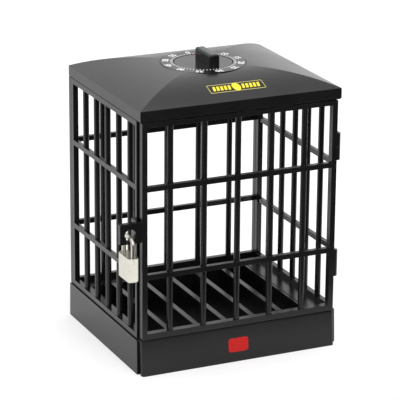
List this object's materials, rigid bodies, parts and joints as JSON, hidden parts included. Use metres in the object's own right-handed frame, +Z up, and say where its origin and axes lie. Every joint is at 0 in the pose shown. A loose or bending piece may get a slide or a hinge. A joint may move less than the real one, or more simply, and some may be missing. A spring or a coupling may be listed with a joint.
{
  "type": "timed lock container",
  "caption": "Small barred lock container with a hinged barred door, a hasp with a padlock, a slotted base and a wind-up timer in its lid.",
  "frame": {"origin": "centre of the case's underside, on the surface that the container stands on", "axes": "+X to the right along the barred door, +Y from the door to the back, +Z up"},
  "size_m": [0.1473, 0.1197, 0.1848],
  "materials": {
    "case_plastic": "satin black moulded plastic",
    "inner_plastic": "matt black moulded plastic",
    "knob_plastic": "satin black, fine turned face",
    "pad_rubber": "matt black rubber",
    "padlock_metal": "pale nickel plate",
    "pin_steel": "plain steel",
    "screw_steel": "blackened steel",
    "movement_brass": "plain brass",
    "gong_steel": "nickel plate"
  },
  "bodies": {
    "cage": {"base_tray": "case_plastic", "base_front_panel": "case_plastic", "phone_rack": "case_plastic", "base_bottom_plate": "inner_plastic", "base_screws": "screw_steel", "rubber_pads": "pad_rubber", "left_grille": "case_plastic", "right_grille": "case_plastic", "back_grille": "case_plastic", "cage_hasp": "case_plastic", "lower_hinge_pin": "pin_steel", "upper_hinge_pin": "pin_steel", "lid_shell": "case_plastic", "lid_floor": "inner_plastic", "lid_screws": "screw_steel", "dial_plate": "case_plastic", "timer_cup": "inner_plastic", "movement_bottom_plate": "movement_brass", "movement_top_plate": "movement_brass", "movement_pillars": "movement_brass", "movement_feet": "inner_plastic", "spring_barrel": "pin_steel", "mainspring": "pin_steel", "gong": "gong_steel", "gong_post": "pin_steel"},
    "door": {"door_grille": "case_plastic", "door_hasp": "case_plastic"},
    "shackle": {"padlock_shackle": "padlock_metal"},
    "padlock": {"padlock_body": "padlock_metal"},
    "plug": {"padlock_plug": "movement_brass"},
    "timer": {"timer_knob": "knob_plastic", "timer_spindle": "pin_steel", "main_wheel": "movement_brass"},
    "second_arbor": {"second_pinion": "pin_steel", "second_wheel": "movement_brass"},
    "escape_arbor": {"escape_pinion": "pin_steel", "escape_wheel": "movement_brass"},
    "hammer": {"bell_hammer": "pin_steel"}
  },
  "joints": [
    {"name": "door_swing", "type": "hinge", "parent": "cage", "child": "door", "pos_m": [0.0648, -0.0554, 0.092], "axis": [0, 0, 1], "range_deg": [0, 160]},
    {"name": "padlock_swing", "type": "hinge", "parent": "door", "child": "shackle", "pos_m": [-0.0731, -0.05407, 0.08965], "axis": [0, 1, 0], "range_deg": [-6, 60]},
    {"name": "padlock_drop", "type": "slide", "parent": "shackle", "child": "padlock", "axis": [0, 0, -1], "range_m": [0, 0.005]},
    {"name": "plug_turn", "type": "hinge", "parent": "padlock", "child": "plug", "pos_m": [-0.0731, -0.05407, 0.067], "axis": [0, 0, -1], "range_deg": [0, 90]},
    {"name": "timer_turn", "type": "hinge", "parent": "cage", "child": "timer", "pos_m": [0, 0, 0.175], "axis": [0, 0, -1], "range_deg": [0, 345]},
    {"name": "second_arbor_turn", "type": "hinge", "parent": "cage", "child": "second_arbor", "pos_m": [-0.014, 0, 0.166], "axis": [0, 0, -1], "continuous": true},
    {"name": "escape_arbor_turn", "type": "hinge", "parent": "cage", "child": "escape_arbor", "pos_m": [-0.01025, 0.00884, 0.166], "axis": [0, 0, -1], "continuous": true},
    {"name": "hammer_swing", "type": "hinge", "parent": "cage", "child": "hammer", "pos_m": [0.0099, -0.01715, 0.156], "axis": [0, 0, 1], "range_deg": [-3, 6]}
  ],
  "couplings": [
    {"joint": "second_arbor_turn", "follows": "timer_turn", "ratio": -6},
    {"joint": "escape_arbor_turn", "follows": "timer_turn", "ratio": 30}
  ]
}
